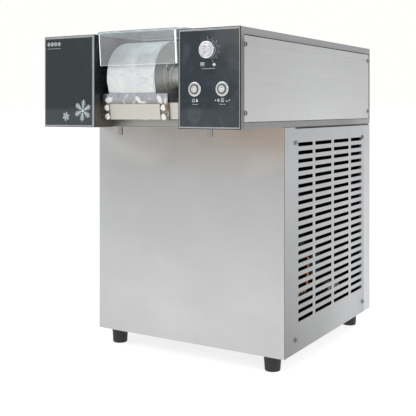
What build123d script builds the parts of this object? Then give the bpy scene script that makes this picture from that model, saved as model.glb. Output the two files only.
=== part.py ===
from build123d import *
import math
import os

# Countertop shaved-ice ("snowflake") machine: a refrigerated drum turns in a
# chamber between two control pods and a fixed blade shaves it; the compressor,
# condenser and fan sit in the cabinet below.
# Working axes: X across (0 = middle), Y from the pods' front face to the rear,
# Z up from the underside of the head. Everything is shifted to the part's own
# origin (bottom centre of the whole box) when it is written.

# ---------------------------------------------------------------- driving sizes
W = 380.0            # width over the sheet metal
HW = W / 2
HEAD_H = 152.0       # height of the head
DEPTH = 545.0        # pods' front to rear sheet
CAB_H = 375.0        # cabinet height under the head
CAB_Y = 146.0        # cabinet front behind the pods' front
FOOT_H = 27.0
T = 1.2              # sheet thickness
POD_IN = 81.5        # inner face of each pod
GLASS_R = (84.4, 187.6)            # window of the right pod across X
GLASS_L = (-188.2, -87.2)          # window of the left pod
GLASS_Z0, GLASS_Z1 = 3.2, 148.0
DRUM_Y, DRUM_Z = 72.0, 81.5
DRUM_R = 59.0
DRUM_X0, DRUM_X1 = -66.0, 28.0
SHAFT_R = 8.0
GEAR_M, GEAR_N, PINION_N = 2.0, 48, 16
KNOB_X, KNOB_Z, KNOB_R, KNOB_H = 135.7, 118.5, 13.0, 12.0
BTN_DX, BTN_Z, BTN_FLANGE_R = 24.0, 60.0, 11.0
BTN_TRAVEL = 3.0
SLOT_ROWS, SLOT_PITCH, SLOT_Z0, SLOT_H = 22, 13.96, -29.4, 6.5
SLOT_COLS = [(199.7, 259.4), (269.9, 343.2), (354.5, 427.7), (439.7, 497.9)]
FAN_Y, FAN_Z = 345.0, -215.0

REAR_OUT = 548.0                   # rearmost point: gland nose and screw heads
YC = (-KNOB_H + REAR_OUT) / 2      # middle of the depth
ZH = CAB_H + FOOT_H                # head underside above the floor

os.makedirs("parts", exist_ok=True)


# ---------------------------------------------------------------- helpers
def bx(x0, x1, y0, y1, z0, z1):
    return Pos((x0 + x1) / 2, (y0 + y1) / 2, (z0 + z1) / 2) * Box(x1 - x0, y1 - y0, z1 - z0)


def cx(y, z, r, x0, x1):
    return Pos((x0 + x1) / 2, y, z) * Rot(0, 90, 0) * Cylinder(r, x1 - x0)


def cy(x, z, r, y0, y1):
    return Pos(x, (y0 + y1) / 2, z) * Rot(90, 0, 0) * Cylinder(r, y1 - y0)


def cz(x, y, r, z0, z1):
    return Pos(x, y, (z0 + z1) / 2) * Cylinder(r, z1 - z0)


def rod(p, q, r):
    """Round bar from p to q."""
    p, q = Vector(*p), Vector(*q)
    d = q - p
    pl = Plane(origin=p, z_dir=d)
    return extrude(pl * Circle(r), d.length)


def mirx(s):
    return mirror(s, Plane.YZ)


def both(s):
    return s + mirx(s)


def save(name, s):
    export_step(Pos(0, -YC, ZH) * s, "parts/%s.step" % name)


def soft(s, edges, r):
    try:
        return fillet(edges, r)
    except Exception:
        return s


# ---------------------------------------------------------------- cabinet
foot_xy = [(158, 168), (-158, 168), (163, 500), (-163, 500)]

pan = bx(-186.2, 186.2, 149.8, 541.2, -375, -357) - bx(-185, 185, 151, 540, -373.2, -350)
for fx, fy in foot_xy:
    pan -= cz(fx, fy, 4.1, -380, -370)
save("base_pan", pan)

post_f = bx(186.6, 188.6, 147.6, 200, -374.8, -2.2) + bx(166.6, 188.6, 147.6, 149.6, -374.8, -2.2)
post_r = bx(186.6, 188.6, 493, 543.4, -374.8, -2.2) + bx(166.6, 188.6, 541.4, 543.4, -374.8, -2.2)
cab_screw_yz = [(190, -26), (190, -354), (503, -26), (503, -354)]
posts = post_f + post_r
for sy, sz in cab_screw_yz:
    posts -= cx(sy, sz, 2.05, 180, 195)
for sz in (-20, -355):
    posts -= cy(176, sz, 2.05, 535, 550)
save("corner_posts", both(posts))

deck = bx(-188.6, 188.6, 147.6, 543.4, -2.0, -0.2) - bx(96, 150, 200, 240, -5, 5) - bx(-150, -100, 420, 470, -5, 5)
save("top_deck", deck)

fp = bx(-HW, HW, CAB_Y, CAB_Y + 1.4, -CAB_H, -0.2)
fp = soft(fp, fp.edges().filter_by(Axis.Z).group_by(Axis.Y)[0], 1.0)
save("front_panel", fp)

side = bx(188.8, HW, 147.7, 509.6, -CAB_H, -3.0) + bx(188.8, HW, 147.7, 188, -3.0, -0.3)
slots = []
for c0, c1 in SLOT_COLS:
    for i in range(SLOT_ROWS):
        slots.append(Pos((c0 + c1) / 2, SLOT_Z0 - i * SLOT_PITCH) * RectangleRounded(c1 - c0, SLOT_H, 1.5))
sk = Sketch() + slots
slot_cut = extrude(Plane(origin=(195, 0, 0), x_dir=(0, 1, 0), z_dir=(1, 0, 0)) * sk, -10)
side = side - slot_cut
for sy, sz in cab_screw_yz:
    side -= cx(sy, sz, 2.2, 185, 195)
save("right_side_grille", side)
save("left_side_grille", mirx(side))

rp = bx(-HW, HW, 510, 545, -CAB_H, -3.0)
rp = soft(rp, rp.edges().filter_by(Axis.Z).group_by(Axis.Y)[-1], 1.0)
rp -= bx(-188.8, 188.8, 500, 543.8, -380, 5)
GLX, GLZ = -140.0, -330.0
rp -= cy(GLX, GLZ, 8.2, 540, 550)
rear_screw_xz = [(-176, -20), (176, -20), (-176, -355), (176, -355)]
for sx, sz in rear_screw_xz:
    rp -= cy(sx, sz, 2.2, 540, 550)
save("rear_panel", rp)

# tapered rubber feet, each with its moulded-in stud
feet = Part()
for fx, fy in foot_xy:
    f = Pos(fx, fy, -CAB_H - FOOT_H / 2) * Cone(13.0, 15.0, FOOT_H)
    f = soft(f, f.edges().group_by(Axis.Z)[0], 1.2)
    f += cz(fx, fy, 4.0, -CAB_H - 1, -368)
    feet += f
save("rubber_feet", feet)


def screw_x(y, z, x_face):
    """Pan-head cross-recess screw, head on the +X side of x_face."""
    h = cx(y, z, 4.0, x_face, x_face + 2.2)
    h = soft(h, h.edges().filter_by(GeomType.CIRCLE).group_by(Axis.X)[-1], 1.3)
    h -= bx(x_face + 1.2, x_face + 3, y - 2.1, y + 2.1, z - 0.5, z + 0.5)
    h -= bx(x_face + 1.2, x_face + 3, y - 0.5, y + 0.5, z - 2.1, z + 2.1)
    return h + cx(y, z, 2.0, x_face - 7, x_face)


def screw_y(x, z, y_face):
    h = cy(x, z, 4.0, y_face, y_face + 2.2)
    h = soft(h, h.edges().filter_by(GeomType.CIRCLE).group_by(Axis.Y)[-1], 1.3)
    h -= bx(x - 2.1, x + 2.1, y_face + 1.2, y_face + 3, z - 0.5, z + 0.5)
    h -= bx(x - 0.5, x + 0.5, y_face + 1.2, y_face + 3, z - 2.1, z + 2.1)
    return h + cy(x, z, 2.0, y_face - 7, y_face)


sc = Part()
for sy, sz in cab_screw_yz:
    sc += screw_x(sy, sz, 190.05)
sc = sc + mirx(sc)

# cable gland in the rear panel; the lead itself is not part of the set
gl = cy(GLX, GLZ, 8.0, 536, 545.05) + cy(GLX, GLZ, 11.0, 545.05, REAR_OUT)
gl = soft(gl, gl.edges().filter_by(GeomType.CIRCLE).group_by(Axis.Y)[-1], 1.0)
gl += extrude(Plane(origin=(GLX, 543.7, GLZ), z_dir=(0, -1, 0)) * RegularPolygon(11.5, 6), 4.5)
gl -= cy(GLX, GLZ, 3.7, 530, 555)
save("cable_gland", gl)

# ---------------------------------------------------------------- head
case = bx(-HW, HW, 1.4, 543.6, 0, HEAD_H)
case = soft(case, case.edges().filter_by(Axis.Y), 1.4)
case -= bx(-188.8, 188.8, -5, 550, T, HEAD_H - T)
case -= bx(180, 200, 12, 542, 10, 140.7)
case -= bx(-200, -180, 12, 542, 10, 140.7)
ledge = bx(186.6, 187.8, 6, 28, T, HEAD_H - T) + bx(187.8, 188.8, 6, 11.9, T, HEAD_H - T)
ledge += bx(186.6, 187.8, 520, 543.6, T, HEAD_H - T) + bx(187.8, 188.8, 542.1, 543.6, T, HEAD_H - T)
case += both(ledge) + both(bx(168, 188.8, 541.8, 543.6, T, HEAD_H - T))
for s in (1, -1):
    for z in (20, 132):
        case -= cy(s * 178, z, 2.05, 535, 550)
case -= bx(-POD_IN, POD_IN, 0, 48.4, -1, 3)
case -= bx(-POD_IN, POD_IN, 0, 135, 149, 155)
case -= bx(-73.5, 73.5, 161.5, 318.5, 149, 155)
case -= bx(96, 150, 200, 240, -5, 5)
for s in (1, -1):
    case -= cz(s * 90.5, 80, 4.7, -3, 3)
head_screw_yz = [(16, 126), (16, 24), (536, 127), (536, 25)]
for sy, sz in head_screw_yz:
    case -= cx(sy, sz, 2.05, 180, 195)
    case -= cx(sy, sz, 2.05, -195, -180)
save("head_casing", case)

cov = bx(188.0, 189.2, 12.7, 541.3, 10.8, 139.4)
cov = soft(cov, cov.edges().filter_by(Axis.X), 1.0)
for sy, sz in head_screw_yz:
    cov -= cx(sy, sz, 2.2, 180, 195)
save("head_side_covers", both(cov))

rc = bx(-HW, HW, 543.8, 545, 0, HEAD_H)
rc = soft(rc, rc.edges().filter_by(Axis.Y), 1.2)
hslots = []
for cxm in (-110, -40, 40, 110):
    for i in range(5):
        hslots.append(Pos(cxm, 50 + i * 13.0) * RectangleRounded(58, 6, 1.5))
rc -= extrude(Plane(origin=(0, 550, 0), x_dir=(-1, 0, 0), z_dir=(0, 1, 0)) * (Sketch() + hslots), -15)
for s in (1, -1):
    for z in (20, 132):
        rc -= cy(s * 178, z, 2.2, 540, 550)
save("head_rear_cover", rc)

hs = Part()
for sy, sz in head_screw_yz:
    hs += screw_x(sy, sz, 189.25)
hs = hs + mirx(hs)
rs = Part()
for s in (1, -1):
    for z in (20, 132):
        rs += screw_y(s * 178, z, 545.05)
for sx, sz in rear_screw_xz:
    rs += screw_y(sx, sz, 545.05)
save("panel_screws", sc + hs + rs)

bez = bx(POD_IN, HW, 0, T, 0, HEAD_H) - bx(GLASS_R[0], GLASS_R[1], -1, 2, GLASS_Z0, GLASS_Z1)
bel = bx(-HW, -POD_IN, 0, T, 0, HEAD_H) - bx(GLASS_L[0], GLASS_L[1], -1, 2, GLASS_Z0, GLASS_Z1)
bez = soft(bez, bez.edges().group_by(Axis.Y)[0], 0.4)
bel = soft(bel, bel.edges().group_by(Axis.Y)[0], 0.4)
save("pod_bezels", bez + bel)

carrier = bx(83.2, 188.4, 3.4, 5.4, 1.6, 150.4)
rg = bx(GLASS_R[0] + 0.3, GLASS_R[1] - 0.3, 0.2, 3.2, GLASS_Z0 + 0.3, GLASS_Z1 - 0.3)
rg = soft(rg, rg.edges().filter_by(Axis.Y), 1.0)
lg = bx(GLASS_L[0] + 0.3, GLASS_L[1] - 0.3, 0.2, 3.2, GLASS_Z0 + 0.3, GLASS_Z1 - 0.3)
lg = soft(lg, lg.edges().filter_by(Axis.Y), 1.0)
rg = soft(rg, rg.edges().group_by(Axis.Y)[0], 0.35)
lg = soft(lg, lg.edges().group_by(Axis.Y)[0], 0.35)
holes = cy(KNOB_X, KNOB_Z, 5.3, -5, 10) + cy(145.2, 96.4, 2.7, -5, 10)
for s in (1, -1):
    holes += cy(KNOB_X + s * BTN_DX, BTN_Z, 9.6, -5, 10)
save("right_glass", rg - holes)
save("left_glass", lg)
save("fascia_carriers", (carrier - holes) + mirx(carrier))

liner = bx(POD_IN, POD_IN + T, 1.4, 136.2, 1.3, 150.7)
liner = both(liner) + bx(-POD_IN - T, POD_IN + T, 135, 136.2, 1.3, 150.7)
liner -= cx(DRUM_Y, DRUM_Z, 13.2, -90, 90)
liner -= cy(40, 62, 5.4, 130, 140)
liner -= cx(72, 10, 4.4, 75, 90)
save("chamber_liner", liner)

lip = bx(-81.3, 81.3, 47.0, 48.2, 0, 13) + bx(-81.3, 81.3, 47.0, 60, 1.3, 2.5)
lip += cx(46.9, 0.9, 0.9, -81.3, 81.3)
save("chute_lip", lip)

# ---------------------------------------------------------------- drum
shell = cx(DRUM_Y, DRUM_Z, DRUM_R, DRUM_X0, DRUM_X1)
shell = soft(shell, shell.edges().filter_by(GeomType.CIRCLE), 1.2)
shell -= cx(DRUM_Y, DRUM_Z, DRUM_R - 3, DRUM_X0 + 4, DRUM_X1 + 5)
shell -= cx(DRUM_Y, DRUM_Z, SHAFT_R + 0.02, DRUM_X0 - 5, DRUM_X0 + 9)
save("drum_shell", shell)

disc = cx(DRUM_Y, DRUM_Z, DRUM_R - 3.05, DRUM_X1 - 4.5, DRUM_X1 - 1.0)
disc += cx(DRUM_Y, DRUM_Z, 30, DRUM_X1 - 1.0, DRUM_X1 + 0.4)
disc -= cx(DRUM_Y, DRUM_Z, SHAFT_R + 0.02, 0, 40)
for k in range(6):
    a = math.radians(60 * k + 30)
    disc -= cx(DRUM_Y + 24 * math.cos(a), DRUM_Z + 24 * math.sin(a), 2.0, 20, 40)
save("drum_end_disc", disc)

# right-hand hub: a stepped, grooved sleeve that carries the drum on its shaft
hub = Part()
for h0, h1, hr in ((DRUM_X1 + 0.5, 32.5, 19.5), (32.5, 44.0, 17.0), (44.0, 47.0, 18.8), (47.0, 57.5, 16.8), (57.5, 61.0, 18.2), (61.0, 66.0, 15.0)):
    st = cx(DRUM_Y, DRUM_Z, hr, h0, h1)
    hub += soft(st, st.edges().filter_by(GeomType.CIRCLE), 0.6)
hub += cx(DRUM_Y, DRUM_Z, 14, -73, DRUM_X0 - 0.1)
hub -= cx(DRUM_Y, DRUM_Z, SHAFT_R + 0.02, -80, 70)
hub -= cz(38, DRUM_Y, 2.0, DRUM_Z + 8, DRUM_Z + 26)
save("drum_hubs", hub)

shaft = cx(DRUM_Y, DRUM_Z, SHAFT_R, -113, 98)
shaft = soft(shaft, shaft.edges().filter_by(GeomType.CIRCLE), 0.8)
save("drum_shaft", shaft)


def involute_gear(m, n, width, bore, phase, thin=0.09, pa=20.0):
    """Spur gear in the XY plane, one tooth centred on the angle phase (degrees)."""
    rp_ = m * n / 2
    rb = rp_ * math.cos(math.radians(pa))
    ra = rp_ + m
    rf = rp_ - 1.25 * m
    inv = lambda a: math.tan(a) - a
    half = math.pi / (2 * n) - thin / rp_ + inv(math.radians(pa))
    flank = []
    r0 = max(rb, rf)
    for i in range(7):
        r = r0 + (ra - r0) * i / 6
        al = math.acos(min(1.0, rb / r))
        flank.append((r, half - inv(al)))
    pts = []
    for k in range(n):
        c = math.radians(phase) + 2 * math.pi * k / n
        left = [(r, c - h) for r, h in flank]
        right = [(r, c + h) for r, h in reversed(flank)]
        if rf < r0:
            left = [(rf, c - flank[0][1])] + left
            right = right + [(rf, c + flank[0][1])]
        pts += left + right
    xy = [(r * math.cos(a), r * math.sin(a)) for r, a in pts]
    face = make_face(Polyline(*xy, close=True))
    g = extrude(face, width)
    return g - Pos(0, 0, width / 2) * Cylinder(bore, width * 3) if bore else g


# local gear axes: x -> +Y of the machine, y -> +Z, extruded along +X
def on_x(x0, y, z):
    return Plane(origin=(x0, y, z), x_dir=(0, 1, 0), z_dir=(1, 0, 0)).location


CD = GEAR_M * (GEAR_N + PINION_N) / 2
gear = on_x(-106, DRUM_Y, DRUM_Z) * involute_gear(GEAR_M, GEAR_N, 10, SHAFT_R + 0.02, 0.0)
gear -= cx(DRUM_Y, DRUM_Z, 38, -107, -103.5) - cx(DRUM_Y, DRUM_Z, 15, -107, -103.5)
for k in range(6):
    a = math.radians(60 * k)
    gear -= cx(DRUM_Y + 27 * math.cos(a), DRUM_Z + 27 * math.sin(a), 7, -110, -90)
gear += cx(DRUM_Y, DRUM_Z, 13, -111, -106) - cx(DRUM_Y, DRUM_Z, SHAFT_R + 0.02, -112, -105)
save("drum_gear", gear)

pin = on_x(-106, DRUM_Y + CD, DRUM_Z) * involute_gear(GEAR_M, PINION_N, 10, 0, 180.0 / PINION_N)
pin += cx(DRUM_Y + CD, DRUM_Z, 6.0, -128, -106)
save("drive_pinion", pin)

brg = cx(DRUM_Y, DRUM_Z, 14.0, 84.2, 92) - cx(DRUM_Y, DRUM_Z, SHAFT_R + 0.05, 80, 100)
brg -= (cx(DRUM_Y, DRUM_Z, 12.3, 91.4, 93) - cx(DRUM_Y, DRUM_Z, 9.8, 91.4, 93))
save("shaft_bearings", both(brg))
hou = cx(DRUM_Y, DRUM_Z, 22, 82.8, 85.8) + cx(DRUM_Y, DRUM_Z, 18, 85.8, 94)
hou -= cx(DRUM_Y, DRUM_Z, 14.05, 84.1, 100)
hou -= cx(DRUM_Y, DRUM_Z, 9.2, 80, 90)
save("bearing_housings", both(hou))
seal = cx(DRUM_Y, DRUM_Z, 13.0, 79.8, 82.7) + cx(DRUM_Y, DRUM_Z, 17, 79.2, 81.4)
seal -= cx(DRUM_Y, DRUM_Z, SHAFT_R + 0.4, 75, 90)
save("shaft_seals", both(seal))

uni = cx(DRUM_Y, DRUM_Z, 15, 94.6, 124) + cx(DRUM_Y, DRUM_Z, 18, 100, 106)
uni += cz(114, DRUM_Y, 6, 62, 76) + cz(114, DRUM_Y, 4.8, 54, 62)
uni = soft(uni, uni.edges().filter_by(GeomType.CIRCLE).group_by(Axis.X)[-1], 1.5)
uni -= cx(DRUM_Y, DRUM_Z, SHAFT_R + 0.06, 90, 99.5)
uni -= cz(114, DRUM_Y, 3.3, 50, 70)
save("rotary_union", uni)

# worm gearbox and motor that turn the pinion
GBX0, GBX1 = -168.0, -108.5
gb = bx(GBX0, GBX1, 106, 166, 50, 113)
gb = soft(gb, gb.edges().filter_by(Axis.X), 8)
gb = soft(gb, gb.edges().group_by(Axis.X)[0], 2)
gb += cy(-139, 81.5, 26, 166, 171)
gb -= cx(DRUM_Y + CD, DRUM_Z, 6.06, -130, -100)
save("gearbox", gb)
mo = cy(-139, 81.5, 31, 171.2, 272)
mo = soft(mo, mo.edges().filter_by(GeomType.CIRCLE).group_by(Axis.Y)[-1], 4)
for k in range(24):
    a = math.radians(15 * k)
    mo += Pos(-139 + 31.5 * math.cos(a), 222, 81.5 + 31.5 * math.sin(a)) * Rot(0, -15 * k, 0) * Box(4, 78, 1.6)
save("drive_motor", mo)
br = bx(-168, -110, 108, 164, 1.3, 3.3) + bx(-168, -110, 108, 164, 47.8, 49.8)
br += bx(-168, -165.5, 108, 164, 1.3, 49.8) + bx(-112.5, -110, 108, 164, 1.3, 49.8)
save("gearbox_bracket", br)

# ---------------------------------------------------------------- blade
TILT = 6.7
bl_pl = Location((0, 21.0, 12.5), (TILT, 0, 0))     # local z up the plate, local y to the rear


def blade_loc(s):
    return bl_pl * s


def lbx(x0, x1, n0, n1, u0, u1):
    return bx(x0, x1, n0, n1, u0, u1)


blade = lbx(-78, 50.5, 0, 3, 0, 42.6)
bev = extrude(Plane.YZ.offset(-100) * make_face(Polyline((0.4, 43.5), (3.5, 43.5), (3.5, 36.5), close=True)), 200)
blade -= bev
scr_xu = [(-69, 20.0), (-69, 5.6), (43, 20.0), (43, 5.6)]
clamp = lbx(-63, 36, -2.2, -0.05, 1.0, 25.6)
clamp = soft(clamp, clamp.edges().group_by(Axis.Y)[0], 0.6)
bar = lbx(-81.2, 81.2, 3.05, 8.0, 1.2, 27.3)
bolts = Part()
for sx_, su in scr_xu:
    blade -= cy(sx_, su, 3.1, -5, 10)
    bar -= cy(sx_, su, 3.0, -5, 10)
    b = cy(sx_, su, 5.2, -5.2, -0.05)
    b = soft(b, b.edges().filter_by(GeomType.CIRCLE).group_by(Axis.Y)[0], 3.0)
    b -= lbx(sx_ - 6, sx_ + 6, -7, -4.4, su - 0.5, su + 0.5)
    b += cy(sx_, su, 2.95, -0.1, 7.5)
    bolts += b
save("shaving_blade", blade_loc(blade))
save("blade_clamp", blade_loc(clamp))
save("blade_support_bar", blade_loc(bar))
save("blade_screws", blade_loc(bolts))

# trough under the drum: a part-cylinder sheet with end walls
RT = 63.2
ring = cx(DRUM_Y, DRUM_Z, RT + 1.2, -75, 53) - cx(DRUM_Y, DRUM_Z, RT, -73.8, 51.8)
keep = bx(-80, 60, 28.2, 127, 10, 37.5) + bx(-80, 60, 72, 127, 10, 47)
trough = ring & keep
save("drum_trough", trough)

sp = Part()
for s in (1, -1):
    t_ = cz(s * 90.5, 80, 4.5, -14.5, -0.2) + cz(s * 90.5, 80, 4.2, -0.2, 12) + cz(s * 90.5, 80, 7.4, 1.3, 4.5)
    t_ -= cz(s * 90.5, 80, 3.0, -20, 20)
    sp += t_
save("drain_spouts", sp)

# ---------------------------------------------------------------- tank and feed
tank = bx(-72, 72, 163, 317, 80, 152.2)
tank = soft(tank, tank.edges().filter_by(Axis.Z), 12)
rim = bx(-79, 79, 156, 324, 152.2, 154.0)
rim = soft(rim, rim.edges().filter_by(Axis.Z), 14)
tank += rim
inn = bx(-70, 70, 165, 315, 82, 160)
inn = soft(inn, inn.edges().filter_by(Axis.Z), 10)
tank -= inn
tank += cz(40, 182, 6, 68, 81)
tank -= cz(40, 182, 4, 60, 90)
save("milk_tank", tank)

lid = bx(-77, 77, 158, 322, 154.3, 156.3)
lid = soft(lid, lid.edges().filter_by(Axis.Z), 12)
lid = soft(lid, lid.edges().group_by(Axis.Z)[-1], 0.8)
lipb = bx(-69.4, 69.4, 165.6, 314.4, 151, 154.4)
lipb = soft(lipb, lipb.edges().filter_by(Axis.Z), 9)
lipc = bx(-67.4, 67.4, 167.6, 312.4, 150, 154.3)
lid += lipb - lipc
kn = cz(0, 240, 12, 160, 170) + cz(0, 240, 6.5, 156, 161)
kn = soft(kn, kn.edges().filter_by(GeomType.CIRCLE).group_by(Axis.Z)[-1], 2.5)
lid += kn
save("tank_lid", lid)

fv = bx(28, 52, 168, 196, 52, 78)
fv = soft(fv, fv.edges().filter_by(Axis.Z), 3)
fv -= cz(40, 182, 6.4, 66, 90)
fv -= cz(40, 182, 3.5, 60, 70)
fv += cy(40, 62, 5.0, 121, 169)
fv -= cy(40, 62, 3.4, 110, 183)
fv += bx(30, 50, 172, 192, 1.3, 52.5) - bx(32, 48, 170, 194, 4, 50)
save("feed_valve", fv)

# ---------------------------------------------------------------- clear cover
# bent acrylic sheet: the front leaf slopes back towards its lower edge
COVER_HX = 73.8
prof = Polyline((2.0, 155.8), (2.0, 152.3), (6.0, 100.8), (9.0, 100.8), (5.2, 152.3), (142.0, 152.3), (142.0, 155.8), close=True)
cvr = extrude(Plane(origin=(-COVER_HX, 0, 0), x_dir=(0, 1, 0), z_dir=(1, 0, 0)) * make_face(prof), 2 * COVER_HX)
cvr = soft(cvr, cvr.edges().filter_by(Axis.X).filter_by_position(Axis.Z, 155, 157).filter_by_position(Axis.Y, 1, 3), 1.8)
cvr += bx(-86, 86, 12, 142, 152.3, 155.8)
save("clear_cover", cvr)

# ---------------------------------------------------------------- controls
kb = cy(KNOB_X, KNOB_Z, KNOB_R, -8.0, -0.3)
kb = soft(kb, kb.edges().filter_by(GeomType.CIRCLE).group_by(Axis.Y)[0], 1.2)
kb += cy(KNOB_X, KNOB_Z, 8.2, -KNOB_H, -7.5)
kb = soft(kb, kb.edges().filter_by(GeomType.CIRCLE).group_by(Axis.Y)[0], 0.8)
for k in range(36):
    a = math.radians(10 * k)
    kb -= cy(KNOB_X + (KNOB_R + 0.25) * math.cos(a), KNOB_Z + (KNOB_R + 0.25) * math.sin(a), 0.75, -7.2, -1.4)
kb -= bx(KNOB_X - 0.5, KNOB_X + 0.5, -KNOB_H - 1, -KNOB_H + 0.5, KNOB_Z + 2.5, KNOB_Z + 7.4)
kb += cy(KNOB_X, KNOB_Z, 3.0, -2, 14)
save("dial_knob", kb)
pot = cy(KNOB_X, KNOB_Z, 5.0, 3.3, 10) + cy(KNOB_X, KNOB_Z, 8.5, 5.6, 7.4) + cy(KNOB_X, KNOB_Z, 12, 9, 24)
pot -= cy(KNOB_X, KNOB_Z, 3.05, 0, 14.5)
pot += bx(KNOB_X - 9, KNOB_X + 4, 10, 12, KNOB_Z - 22, KNOB_Z - 8)
save("potentiometer", pot)

bz = Part()
for s in (1, -1):
    bxx = KNOB_X + s * BTN_DX
    b = cy(bxx, BTN_Z, BTN_FLANGE_R, -2.2, 0.15)
    b = soft(b, b.edges().filter_by(GeomType.CIRCLE).group_by(Axis.Y)[0], 0.9)
    b += cy(bxx, BTN_Z, 9.4, 0.1, 30)
    b += cy(bxx, BTN_Z, 12.5, 5.6, 9.5)
    b -= cy(bxx, BTN_Z, 7.6, -5, 9.0)
    b += bx(bxx - 5, bxx - 3.6, 30, 36, BTN_Z - 1.5, BTN_Z + 1.5) + bx(bxx + 3.6, bxx + 5, 30, 36, BTN_Z - 1.5, BTN_Z + 1.5)
    bz += b
save("button_switches", bz)
for nm, s in (("left_button_cap", -1), ("right_button_cap", 1)):
    bxx = KNOB_X + s * BTN_DX
    c = cy(bxx, BTN_Z, 7.2, -2.9, 5.4)
    c = soft(c, c.edges().filter_by(GeomType.CIRCLE).group_by(Axis.Y)[0], 0.8)
    save(nm, c)

lamp = cy(145.2, 96.4, 2.5, -0.3, 12) + cy(145.2, 96.4, 3.6, 5.6, 10)
lamp = soft(lamp, lamp.edges().filter_by(GeomType.CIRCLE).group_by(Axis.Y)[0], 0.6)
save("indicator_lamp", lamp)

pcb = bx(90, 184, 39, 40.6, 40, 142)
for (x0, x1, z0, z1, d) in ((96, 120, 108, 136, 14), (128, 150, 112, 134, 18), (158, 176, 104, 136, 12), (98, 112, 50, 88, 9), (120, 136, 56, 80, 16), (146, 176, 48, 60, 8)):
    pcb += bx(x0, x1, 40.5, 40.6 + d, z0, z1)
for (x, z) in ((94, 44), (180, 44), (94, 138), (180, 138)):
    pcb += cy(x, z, 2.4, 5.5, 39.1)
save("control_board", pcb)

# ---------------------------------------------------------------- refrigeration
CPX, CPY = 48.0, 400.0
comp = cz(CPX, CPY, 64, -352, -205)
comp = soft(comp, comp.edges().filter_by(GeomType.CIRCLE), 26)
comp += cz(CPX, CPY, 65.5, -276, -270)
comp += bx(CPX - 70, CPX + 70, CPY - 62, CPY - 46, -349, -345) + bx(CPX - 70, CPX + 70, CPY + 46, CPY + 62, -349, -345)
comp += bx(CPX - 30, CPX + 30, CPY - 62, CPY + 62, -349, -345)
gxy = [(CPX + i * 62, CPY + j * 54) for i in (1, -1) for j in (1, -1)]
for gx, gy in gxy:
    comp -= cz(gx, gy, 5.2, -360, -340)
save("compressor", comp)
gro = Part()
for gx, gy in gxy:
    gro += cz(gx, gy, 9.5, -373.1, -349.1) + cz(gx, gy, 5.0, -350, -344) + cz(gx, gy, 8, -344.9, -341)
save("compressor_grommets", gro)
term = bx(106, 134, 378, 424, -296, -236)
term = soft(term, term.edges().filter_by(Axis.X), 5)
term = soft(term, term.edges().group_by(Axis.X)[-1], 2.5)
term -= cz(CPX, CPY, 65.8, -300, -230)
save("terminal_cover", term)

cap = cy(150, -312, 14, 392, 446)
cap = soft(cap, cap.edges().filter_by(GeomType.CIRCLE), 1.5)
cap += bx(146.6, 153.4, 386, 393, -313, -311)
save("run_capacitor", cap)
cbk = bx(136, 164, 396, 442, -328.2, -326.2) + bx(136, 138, 396, 442, -373.1, -326.2) + bx(138, 164, 396, 442, -373.1, -371.1)
save("capacitor_bracket", cbk)

CZ0, CZ1 = -345.0, -22.0
tube_z = [CZ0 + 18 + i * 32.0 for i in range(10)]
CTX = -160.0
fin_sk = Pos(CTX, (CZ0 + CZ1) / 2) * Rectangle(34, CZ1 - CZ0)
for z in tube_z:
    fin_sk -= Pos(CTX, z) * Circle(4.9)
fin_pl = lambda y: Plane(origin=(0, y, 0), x_dir=(1, 0, 0), z_dir=(0, -1, 0))
fins = [extrude(fin_pl(206 + i * 6.0) * fin_sk, 0.5) for i in range(50)]
save("condenser_fins", Compound(children=[f.solid() for f in fins]))
tubes = Part()
for i, z in enumerate(tube_z):
    tubes += cy(CTX, z, 4.75, 196, 506)
for i in range(9):
    zc = tube_z[i] + 16
    yb = 506 if i % 2 == 0 else 196
    tor = Pos(CTX, yb, zc) * Rot(0, 90, 0) * Torus(16, 4.75)
    half = bx(CTX - 10, CTX + 10, yb, yb + 30, zc - 30, zc + 30) if i % 2 == 0 else bx(CTX - 10, CTX + 10, yb - 30, yb, zc - 30, zc + 30)
    tubes += tor & half
save("condenser_tubes", tubes)

shr = bx(-141.5, -118, 199, 501, CZ0, CZ1) - bx(-140.3, -110, 200.2, 499.8, CZ0 + 1.2, CZ1 - 1.2)
shr += bx(-119.2, -118, 199, 501, CZ0, CZ1)
shr -= cx(FAN_Y, FAN_Z, 104, -130, -110)
shr += (cx(FAN_Y, FAN_Z, 105.2, -118.1, -104) - cx(FAN_Y, FAN_Z, 104, -130, -100))
shr += bx(-141.5, -118, 205, 225, -373.1, CZ0 + 0.5) - bx(-140.3, -110, 200, 230, -371.9, CZ0 - 0.0)
shr += bx(-141.5, -118, 475, 495, -373.1, CZ0 + 0.5) - bx(-140.3, -110, 470, 500, -371.9, CZ0 - 0.0)
save("fan_shroud", shr)

fm = cx(FAN_Y, FAN_Z, 34, -92, -52)
fm = soft(fm, fm.edges().filter_by(GeomType.CIRCLE), 4)
fm += cx(FAN_Y, FAN_Z, 12, -97, -91)
fm -= cx(FAN_Y, FAN_Z, 4.05, -100, -75)
for a in (45, 135, 225, 315):
    ca, sa = math.cos(math.radians(a)), math.sin(math.radians(a))
    fm += rod((-84, FAN_Y + 30 * ca, FAN_Z + 30 * sa), (-84, FAN_Y + 104.6 * ca, FAN_Z + 104.6 * sa), 2.5)
    fm += rod((-84, FAN_Y + 104.6 * ca, FAN_Z + 104.6 * sa), (-103.9, FAN_Y + 104.6 * ca, FAN_Z + 104.6 * sa), 2.5)
save("fan_motor", fm)

fan = cx(FAN_Y, FAN_Z, 20, -128, -104) - cx(FAN_Y, FAN_Z, 17.5, -130, -107)
fan += cx(FAN_Y, FAN_Z, 6, -126, -104) + cx(FAN_Y, FAN_Z, 4.0, -106, -76)
for k in range(5):
    bl = Pos(0, 0, 57) * Rot(0, 0, 28) * Box(2.2, 52, 78)
    bl = bl & Cylinder(98, 40, rotation=(0, 90, 0))
    fan += Pos(-115, FAN_Y, FAN_Z) * Rot(72 * k, 0, 0) * bl
save("fan_blade", fan)


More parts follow.
